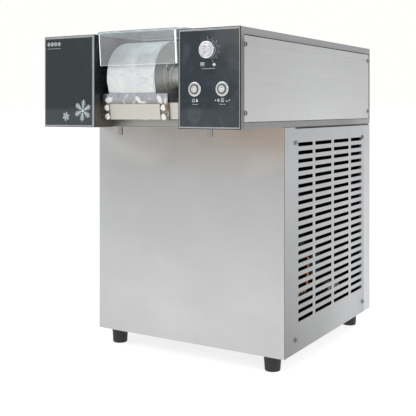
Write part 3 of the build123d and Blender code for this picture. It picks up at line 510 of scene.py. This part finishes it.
MATS = dict(
    # top_deck in black powder coat is painted shade: it keeps the inside of the cabinet dark
    base_pan=zinc, corner_posts=zinc, top_deck=black_sheet, front_panel=steel_front,
    right_side_grille=steel_side, left_side_grille=steel_side, rear_panel=steel_rear, rubber_feet=rubber,
    panel_screws=screw_m, cable_gland=black_plastic, head_casing=steel_case, head_side_covers=steel_head,
    head_rear_cover=steel_rear_head, pod_bezels=steel_bezel, left_glass=glass_m, right_glass=glass_m,
    fascia_carriers=black_plastic, chamber_liner=liner_m, chute_lip=steel_lip, drum_shell=steel_drum,
    drum_end_disc=steel_hub_lit, drum_hubs=steel_hub_lit, drum_shaft=steel_hub_lit, drum_gear=steel_turned,
    drive_pinion=steel_turned, shaft_bearings=steel_turned, bearing_housings=cast, shaft_seals=silicone,
    rotary_union=steel_turned, gearbox=cast, drive_motor=motor, gearbox_bracket=zinc, shaving_blade=steel_blade,
    blade_clamp=steel_bar, blade_support_bar=steel_bar, blade_screws=blade_screw_m, drum_trough=steel_lip,
    drain_spouts=spout_m, milk_tank=tank_m, tank_lid=tank_m, feed_valve=tank_m, clear_cover=acrylic_m,
    dial_knob=knob_m, potentiometer=black_plastic, button_switches=chrome, left_button_cap=lens_m,
    right_button_cap=lens_m, indicator_lamp=lamp_m, control_board=board, compressor=enamel,
    compressor_grommets=rubber, terminal_cover=black_plastic, run_capacitor=alu, capacitor_bracket=zinc,
    condenser_fins=alu, condenser_tubes=copper, fan_shroud=black_sheet, fan_motor=motor, fan_blade=black_plastic,
    copper_lines=copper)
for nm, m in MATS.items():
    o = N[nm]
    for s in o.material_slots:
        s.material = m


# ============================================================ mesh helpers
def obj_from(name, verts, faces, mat, body="frame", smooth=False, angle=None):
    me = bpy.data.meshes.new(name)
    me.from_pydata([tuple(v) for v in verts], [], faces)
    me.validate()
    bm = bmesh.new()
    bm.from_mesh(me)
    bmesh.ops.recalc_face_normals(bm, faces=bm.faces)
    bm.to_mesh(me)
    bm.free()
    me.materials.append(mat)
    if smooth:
        me.polygons.foreach_set("use_smooth", [True] * len(me.polygons))
    o = bpy.data.objects.new(name, me)
    COL.objects.link(o)
    if angle is not None:
        sharp_by_angle(me, angle)
    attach(o, body)
    return o


def sharp_by_angle(me, deg):
    bm = bmesh.new()
    bm.from_mesh(me)
    lim = math.radians(deg)
    for e in bm.edges:
        if len(e.link_faces) == 2:
            e.smooth = e.calc_face_angle(0.0) < lim
        else:
            e.smooth = False
    for f in bm.faces:
        f.smooth = True
    bm.to_mesh(me)
    bm.free()


FRONT = 0.2            # front surface of the glass fascias (mm, working axes)
INK_T = 0.06           # print thickness


def flat_print(name, loops, mat, y=FRONT, t=INK_T):
    """Closed 2-D outlines in (x, z) mm, raised t in front of the face at y."""
    verts, faces = [], []
    for lp in loops:
        n = len(lp)
        b = len(verts)
        for yy in (y - t, y - 0.005):
            verts += [P(px, yy, pz) for px, pz in lp]
        faces.append(tuple(range(b, b + n)))
        faces.append(tuple(range(b + 2 * n - 1, b + n - 1, -1)))
        for i in range(n):
            j = (i + 1) % n
            faces.append((b + i, b + n + i, b + n + j, b + j))
    return obj_from(name, verts, faces, mat, "frame")


def seg(x0, z0, x1, z1, w):
    dx, dz = x1 - x0, z1 - z0
    L = math.hypot(dx, dz) or 1.0
    nx, nz = -dz / L * w / 2, dx / L * w / 2
    return [(x0 + nx, z0 + nz), (x0 - nx, z0 - nz), (x1 - nx, z1 - nz), (x1 + nx, z1 + nz)]


def disc2(cx_, cz_, r, n=24):
    return [(cx_ + r * math.cos(2 * math.pi * i / n), cz_ + r * math.sin(2 * math.pi * i / n)) for i in range(n)]


def arc_band(cx_, cz_, r, w, a0, a1, n=24):
    out = []
    for i in range(n + 1):
        a = math.radians(a0 + (a1 - a0) * i / n)
        out.append((cx_ + (r + w / 2) * math.cos(a), cz_ + (r + w / 2) * math.sin(a)))
    for i in range(n, -1, -1):
        a = math.radians(a0 + (a1 - a0) * i / n)
        out.append((cx_ + (r - w / 2) * math.cos(a), cz_ + (r - w / 2) * math.sin(a)))
    return out


def crystal(cx_, cz_, R, w, branches, rot=90.0, tip=None):
    """Plain six-armed ice crystal made of bars."""
    out = []
    for k in range(6):
        a = math.radians(rot + 60 * k)
        ux, uz = math.cos(a), math.sin(a)
        out.append(seg(cx_ + ux * w * 0.2, cz_ + uz * w * 0.2, cx_ + ux * R, cz_ + uz * R, w))
        for frac, ln in branches:
            bx_, bz_ = cx_ + ux * R * frac, cz_ + uz * R * frac
            for sgn in (1, -1):
                aa = a + sgn * math.radians(55)
                out.append(seg(bx_, bz_, bx_ + math.cos(aa) * R * ln, bz_ + math.sin(aa) * R * ln, w * 0.85))
        if tip:
            out.append(disc2(cx_ + ux * R, cz_ + uz * R, tip, 12))
    return out


# ============================================================ prints on the glass
flat_print("left_fascia_crystal_large", crystal(-107.0, 27.5, 17.6, 1.05, [(0.30, 0.20), (0.50, 0.30), (0.72, 0.28)], 84.0, 0.8), ink_frosty)
flat_print("left_fascia_crystal_small", crystal(-143.0, 17.5, 7.2, 0.8, [(0.42, 0.30), (0.70, 0.30)], 78.0, 0.5), ink_blue)
marks = []
for i in range(4):                                     # four plain cube outlines
    hx, hz, q = -181.0 + i * 7.6, 139.2, 2.9
    ring_ = [(hx + q * math.cos(math.radians(60 * k + 30)), hz + q * math.sin(math.radians(60 * k + 30))) for k in range(6)]
    for k in range(6):
        marks.append(seg(*ring_[k], *ring_[(k + 1) % 6], 0.9))
    for k in (0, 2, 4):
        marks.append(seg(hx, hz, *ring_[k], 0.7))
for i in range(9):
    marks.append(seg(-184.0 + i * 3.3, 131.6, -181.7 + i * 3.3, 131.6, 0.55))
flat_print("left_fascia_marks", marks, ink_white)

KX, KZ = 135.7, 118.5
ticks = []
for i in range(25):
    a = math.radians(96 - i * 6.8)
    r0, r1 = 15.0, (16.6 if i % 4 == 0 else 16.0)
    ticks.append(seg(KX + r0 * math.cos(a), KZ + r0 * math.sin(a), KX + r1 * math.cos(a), KZ + r1 * math.sin(a), 0.34))
flat_print("dial_ticks", ticks, ink_white)
for i in range(7):
    a = math.radians(96 - i * 27.2)
    cu = bpy.data.curves.new("dial_number_%d" % i, "FONT")
    cu.body = str(i)
    cu.size = 0.0030
    cu.align_x, cu.align_y = "CENTER", "CENTER"
    cu.extrude = 0.00002
    cu.resolution_u = 3
    tmp = bpy.data.objects.new("tmp_number", cu)
    COL.objects.link(tmp)
    tmp.matrix_world = Matrix.Translation(P(KX + 18.6 * math.cos(a), FRONT - 0.035, KZ + 18.6 * math.sin(a))) @ Matrix.Rotation(math.pi / 2, 4, "X")
    bpy.context.view_layer.update()
    dg = bpy.context.evaluated_depsgraph_get()
    me = bpy.data.meshes.new_from_object(tmp.evaluated_get(dg))
    me.transform(tmp.matrix_world)
    bpy.data.objects.remove(tmp)
    me.materials.clear()
    me.materials.append(ink_white)
    o = bpy.data.objects.new("dial_number_%d" % i, me)
    COL.objects.link(o)
    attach(o, "frame")

ic = []
for i in range(3):                                     # three layers: snow thickness
    ic.append(seg(121.2, 95.0 + i * 2.1, 128.4, 95.0 + i * 2.1, 0.55 + 0.35 * i))
ic.append(seg(123.6, 90.6, 146.4, 90.6, 0.45))
flat_print("thickness_icon", ic, ink_white)
bxl, bxr = KX - 24.0, KX + 24.0
ic = [arc_band(bxl - 2.6, 43.0, 2.2, 0.7, 125, 415, 28), seg(bxl - 2.6, 43.2, bxl - 2.6, 46.0, 0.7)]
drop = [(bxl + 3.4 + 1.9 * math.sin(t) * (0.55 if math.cos(t) > 0 else 1.0), 42.6 + (3.1 if math.cos(t) > 0 else 1.9) * math.cos(t)) for t in [2 * math.pi * i / 24 for i in range(24)]]
ic.append(drop)
ic.append(seg(bxl - 4.6, 37.2, bxl + 5.2, 37.2, 0.42))
flat_print("left_button_icon", ic, ink_white)
ic = crystal(bxr - 7.2, 43.2, 2.5, 0.55, [(0.55, 0.34)], 90.0)
ic += [disc2(bxr - 12.2, 43.2, 1.0, 16), seg(bxr - 2.6, 41.3, bxr + 2.4, 41.3, 0.8), seg(bxr - 2.6, 43.3, bxr + 2.4, 43.3, 0.8), seg(bxr - 2.6, 45.3, bxr + 2.4, 45.3, 0.8)]
ic += [arc_band(bxr + 7.6, 43.6, 2.2, 0.7, 200, 340, 16), disc2(bxr + 12.0, 43.2, 0.9, 16)]
ic.append(seg(bxr - 5.4, 37.2, bxr + 5.4, 37.2, 0.42))
flat_print("right_button_icon", ic, ink_white)


# ============================================================ frost on the drum
DY, DZ = 72.0, 81.5
SH_R = 59.0


def frost_layer():
    na, nx = 420, 150
    x0, x1 = -66.4, 27.6
    verts, faces = [], []
    rings_and_painted_light = []
    for j in range(nx + 1):
        t = j / nx
        ring = []
        for i in range(na):
            a = 2 * math.pi * i / na
            ca, sa = math.cos(a), math.sin(a)
            er = 1.6 * noise.noise(Vector((ca * 5.0, sa * 5.0, 3.1))) + 9.0 * max(0.0, noise.noise(Vector((ca * 11.0, sa * 11.0, 7.7))) - 0.10) \
                + 2.4 * noise.noise(Vector((ca * 26.0, sa * 26.0, 1.7)))
            er = max(-2.2, min(er, 4.2))
            el = 0.5 * noise.noise(Vector((ca * 6.0, sa * 6.0, 9.3))) + 0.25 * noise.noise(Vector((ca * 38.0, sa * 38.0, 4.7)))
            xe0, xe1 = x0 + el, x1 - 1.0 + er
            # crowd the samples at both ends so the edge is rounded
            tt = 0.5 - 0.5 * math.cos(math.pi * t)
            tt = 0.35 * tt + 0.65 * t
            x = xe0 + (xe1 - xe0) * tt
            p = Vector((x * 0.030, ca * 1.9, sa * 1.9))
            h = 0.95 + 0.22 * noise.noise(p * 2.2) + 0.14 * noise.noise(p * 7.0) + 0.07 * noise.noise(p * 21.0)
            lip = 0.30 * math.exp(-((xe1 - x) / 1.6) ** 2) * (0.6 + noise.noise(Vector((ca * 22, sa * 22, 2.2))))
            edge = min(1.0, max(0.0, (x - xe0) / 1.1)) * min(1.0, max(0.0, (xe1 - x) / 0.8))
            edge = math.sin(edge * math.pi / 2)
            r = SH_R + 0.06 + (max(0.25, h) + max(0.0, lip)) * edge
            r = min(r, 60.75)
            ring.append(len(verts))
            verts.append(P(x, DY + r * ca, DZ + r * sa))
        rings_and_painted_light.append(ring)
    inner = []
    for j in (0, nx):
        ring = []
        for i in range(na):
            v = verts[rings_and_painted_light[j][i]]
            a = 2 * math.pi * i / na
            ring.append(len(verts))
            verts.append(P(v.x * 1000.0, DY + (SH_R + 0.015) * math.cos(a), DZ + (SH_R + 0.015) * math.sin(a)))
        inner.append(ring)
    for j in range(nx):
        for i in range(na):
            k = (i + 1) % na
            faces.append((rings_and_painted_light[j][i], rings_and_painted_light[j][k], rings_and_painted_light[j + 1][k], rings_and_painted_light[j + 1][i]))
    for i in range(na):
        k = (i + 1) % na
        faces.append((rings_and_painted_light[0][k], rings_and_painted_light[0][i], inner[0][i], inner[0][k]))
        faces.append((rings_and_painted_light[nx][i], rings_and_painted_light[nx][k], inner[1][k], inner[1][i]))
        faces.append((inner[0][k], inner[0][i], inner[1][i], inner[1][k]))
    return obj_from("drum_frost", verts, faces, frost_m, "drum", smooth=True)


frost_layer()


# snow left on the blade's upper strip: thin lumpy patches lying on the tilted plate
TILT = math.radians(6.7)


def on_blade(x, n, u):
    """Working position of a point x across, n behind the plate's front face and u up it."""
    return P(x, 21.0 + n * math.cos(TILT) - u * math.sin(TILT), 12.5 + u * math.cos(TILT) + n * math.sin(TILT))


def snow_patch(name, cx_, cu, rx, ru, h, seed, rot=0.0, body="frame", nr=14, na=46):
    verts, faces = [], []
    cr, sr = math.cos(rot), math.sin(rot)
    top = []
    for j in range(nr + 1):
        f = j / nr
        row = []
        for i in range(na):
            a = 2 * math.pi * i / na
            k = 1.0 + 0.38 * noise.noise(Vector((math.cos(a) * 1.6, math.sin(a) * 1.6, seed))) + 0.16 * noise.noise(Vector((math.cos(a) * 5, math.sin(a) * 5, seed + 4)))
            dx, du = rx * f * k * math.cos(a), ru * f * k * math.sin(a)
            x, u = cx_ + dx * cr - du * sr, cu + dx * sr + du * cr
            u = min(u, 42.0)
            hh = h * (1 - f ** 2) ** 0.7 * (0.75 + 0.5 * noise.noise(Vector((x * 0.33, u * 0.33, seed * 2))) + 0.25 * noise.noise(Vector((x * 1.1, u * 1.1, seed))))
            hh = max(0.03, hh) if f < 1 else 0.0
            row.append(len(verts))
            verts.append(on_blade(x, -0.02 - hh, u))
            if j == 0:
                break
        top.append(row)
    for i in range(na):
        faces.append((top[0][0], top[1][i], top[1][(i + 1) % na]))
    for j in range(1, nr):
        for i in range(na):
            k = (i + 1) % na
            faces.append((top[j][i], top[j + 1][i], top[j + 1][k], top[j][k]))
    faces.append(tuple(reversed(top[nr])))
    return obj_from(name, verts, faces, snow_m, body, smooth=True)


snow_patch("snow_residue_left", -65.5, 33.0, 7.5, 5.0, 1.6, 2.3, 0.2)
snow_patch("snow_residue_mid", -6.0, 32.5, 4.0, 7.5, 0.9, 5.1, 0.75)
snow_patch("snow_residue_mid_low", 2.5, 28.6, 6.0, 1.8, 0.7, 8.4, 0.1)
snow_patch("snow_residue_right", 35.0, 33.5, 4.5, 7.0, 1.1, 11.9, 0.5)
snow_patch("snow_residue_corner", 46.0, 31.0, 2.5, 5.5, 0.8, 14.2, -0.1)


# ============================================================ clear cover's edges, strips that glow as painted light
def bar_box(name, x0, x1, y0, y1, z0, z1, mat, body, r=0.25):
    bm = bmesh.new()
    bmesh.ops.create_cube(bm, size=1.0)
    for v in bm.verts:
        v.co = P(x0 + (v.co.x + 0.5) * (x1 - x0), y0 + (v.co.y + 0.5) * (y1 - y0), z0 + (v.co.z + 0.5) * (z1 - z0))
    bmesh.ops.bevel(bm, geom=bm.edges[:], offset=r / 1000.0, segments=3, profile=0.5, affect="EDGES")
    me = bpy.data.meshes.new(name)
    bm.to_mesh(me)
    bm.free()
    me.materials.append(mat)
    o = bpy.data.objects.new(name, me)
    COL.objects.link(o)
    sharp_by_angle(me, 50)
    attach(o, body)
    return o


def prism(name, x0, x1, yz, mat, body, r=0.12):
    """A bar along X with the section yz (mm, working axes) and eased edges."""
    bm = bmesh.new()
    ra = [bm.verts.new(P(x0, y, z)) for y, z in yz]
    rb = [bm.verts.new(P(x1, y, z)) for y, z in yz]
    n = len(yz)
    bm.faces.new(ra)
    bm.faces.new(list(reversed(rb)))
    for i in range(n):
        bm.faces.new((ra[i], rb[i], rb[(i + 1) % n], ra[(i + 1) % n]))
    bmesh.ops.recalc_face_normals(bm, faces=bm.faces)
    bmesh.ops.bevel(bm, geom=bm.edges[:], offset=r / 1000.0, segments=3, profile=0.5, affect="EDGES")
    me = bpy.data.meshes.new(name)
    bm.to_mesh(me)
    bm.free()
    me.materials.append(mat)
    o = bpy.data.objects.new(name, me)
    COL.objects.link(o)
    sharp_by_angle(me, 50)
    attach(o, body)
    return o


HX = 73.8
leaf = [(2.15, 152.0), (6.12, 101.0), (8.86, 101.0), (5.05, 152.0)]
prism("cover_edge_left", -HX - 0.62, -HX - 0.01, leaf, edge_glow_m, "cover")
prism("cover_edge_right", HX + 0.01, HX + 0.8, leaf, edge_glow_m, "cover")
face_in = [(1.70, 152.0), (5.67, 101.0), (5.97, 101.0), (2.00, 152.0)]
prism("cover_edge_left_face", -HX - 0.6, -HX + 0.2, face_in, edge_glow_m, "cover", 0.06)
prism("cover_edge_right_face", HX - 0.6, HX + 0.78, face_in, edge_glow_m, "cover", 0.06)
bar_box("cover_edge_bottom", -HX - 0.3, HX + 0.3, 6.15, 8.85, 100.55, 100.78, edge_glow_m, "cover", 0.12)

# ============================================================ stage, light and camera
scene = bpy.context.scene
scene.view_settings.view_transform = "Standard"
scene.view_settings.look = "None"

w = bpy.data.worlds.new("studio")
scene.world = w
w.use_nodes = True
nt = w.node_tree
bg = nt.nodes["Background"]
tc = nt.nodes.new("ShaderNodeTexCoord")
sx = nt.nodes.new("ShaderNodeSeparateXYZ")
nt.links.new(tc.outputs["Generated"], sx.inputs[0])
rp = nt.nodes.new("ShaderNodeValToRGB")
mr = nt.nodes.new("ShaderNodeMapRange")
mr.inputs["From Min"].default_value = -1.0
mr.inputs["From Max"].default_value = 1.0
nt.links.new(sx.outputs[2], mr.inputs["Value"])
nt.links.new(mr.outputs[0], rp.inputs["Fac"])
els = rp.color_ramp.elements
els[0].position, els[0].color = 0.0, (0.52, 0.52, 0.52, 1)
els[1].position, els[1].color = 1.0, (0.74, 0.76, 0.79, 1)
e = els.new(0.45); e.color = (0.56, 0.56, 0.565, 1)
e = els.new(0.56); e.color = (0.70, 0.705, 0.72, 1)
lp = nt.nodes.new("ShaderNodeLightPath")
mx = nt.nodes.new("ShaderNodeMix")
mx.data_type = "RGBA"
nt.links.new(lp.outputs["Is Camera Ray"], mx.inputs[0])
nt.links.new(rp.outputs["Color"], mx.inputs[6])
mx.inputs[7].default_value = (1.0, 1.0, 0.985, 1)
nt.links.new(mx.outputs[2], bg.inputs["Color"])
bg.inputs["Strength"].default_value = 1.0

bpy.ops.mesh.primitive_plane_add(size=400.0, location=(0, 0, -0.0002))
floor = bpy.context.object
floor.name = "floor"
fm_ = Mat("floor_paper")
fm_.set(base=(0.38, 0.38, 0.38), rough=0.8, spec=0.1, emit=(1.0, 1.0, 0.99), emit_s=0.80)
floor.data.materials.append(fm_.m)


def area(name, loc, target, size, power, color=(1, 1, 1), size_y=None):
    d = bpy.data.lights.new(name, "AREA")
    d.energy = power
    d.color = color
    d.shape = "RECTANGLE"
    d.size = size
    d.size_y = size_y or size
    o = bpy.data.objects.new(name, d)
    COL.objects.link(o)
    o.location = loc
    o.rotation_euler = (Vector(target) - Vector(loc)).to_track_quat("-Z", "Y").to_euler()
    return o


area("key_left", (-1.6, -2.2, 1.9), (0, 0, 0.3), 1.8, 26, (1.0, 0.99, 0.97))
area("fill_right", (2.6, -0.6, 1.5), (0, 0.1, 0.3), 1.6, 20, (0.97, 0.985, 1.0))
area("top_soft", (0.2, 0.0, 2.6), (0, 0, 0.3), 2.4, 22)

sp = bpy.data.lights.new("drum_spot", "SPOT")
sp.energy = 14
sp.spot_size = math.radians(9.0)
sp.spot_blend = 1.0
sp.shadow_soft_size = 0.12
so = bpy.data.objects.new("drum_spot", sp)
COL.objects.link(so)
so.location = P(330, -900, 330)
so.rotation_euler = (P(42, 60, 84) - so.location).to_track_quat("-Z", "Y").to_euler()

cam = bpy.data.cameras.new("camera")
cam.lens = 69.33
cam.sensor_width = 36.0
cam.sensor_fit = "HORIZONTAL"
cam.shift_x = 0.0
cam.shift_y = -0.2414
cam.clip_start = 0.05
co = bpy.data.objects.new("camera", cam)
COL.objects.link(co)
co.location = P(754.39, -1022.67, 32.39)
co.rotation_euler = (math.pi / 2, 0.0, 0.54477)
scene.camera = co

# ============================================================ update
bpy.context.view_layer.update()
